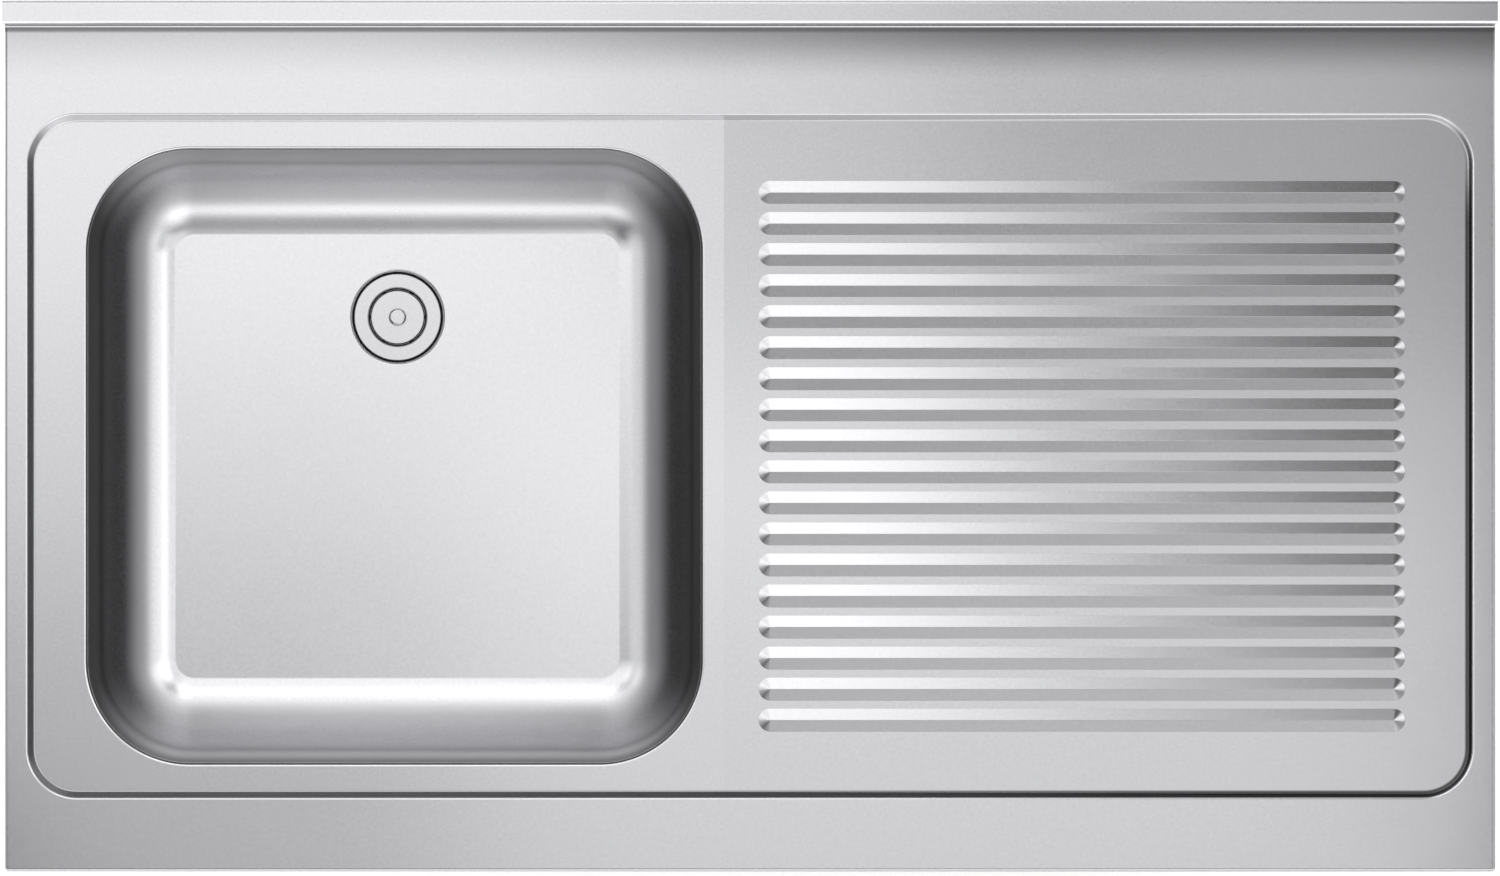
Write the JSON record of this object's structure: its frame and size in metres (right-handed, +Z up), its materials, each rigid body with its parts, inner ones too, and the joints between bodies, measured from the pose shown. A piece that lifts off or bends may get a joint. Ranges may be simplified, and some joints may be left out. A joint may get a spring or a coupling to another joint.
{
  "type": "sink top",
  "caption": "Rectangular steel sink top with a deep square bowl at the left, a sunken ribbed drainer at the right, folded front and side edges and a rear upstand.",
  "frame": {"origin": "centre of the four threaded bushes, level with the foot of the apron", "axes": "+X to the right along the width, +Y to the rear towards the wall, +Z up"},
  "size_m": [1.2, 0.7, 0.433],
  "materials": {
    "satin_steel": "satin",
    "raw_steel": "matte",
    "bright_steel": "polished",
    "zinc_steel": "satin",
    "brass": "satin",
    "black_rubber": "matte",
    "board": "matte",
    "white_nylon": "matte"
  },
  "bodies": {
    "sink": {"top_sheet": "satin_steel", "bowl": "satin_steel", "upstand_caps": "satin_steel", "front_rail": "raw_steel", "rear_rail": "raw_steel", "cross_channels": "raw_steel", "drainer_boards": "board", "bowl_floor_pad": "black_rubber", "bowl_wall_pads": "black_rubber", "corner_brackets": "raw_steel", "bracket_bushes": "zinc_steel", "weld_studs": "zinc_steel", "stud_washers": "zinc_steel", "stud_nuts": "zinc_steel", "earth_stud": "brass", "earth_tag": "brass", "earth_washer": "zinc_steel", "earth_nuts": "brass", "waste_body": "bright_steel", "waste_gasket": "black_rubber", "waste_washer": "black_rubber", "waste_slip_ring": "white_nylon", "waste_nut": "brass"},
    "plug": {"plug_bung": "black_rubber", "plug_cap": "bright_steel", "plug_knob": "bright_steel", "plug_nut": "zinc_steel"}
  },
  "joints": [
    {"name": "plug_lift", "type": "slide", "parent": "sink", "child": "plug", "axis": [0, 0, 1], "range_m": [0, 0.37]}
  ]
}
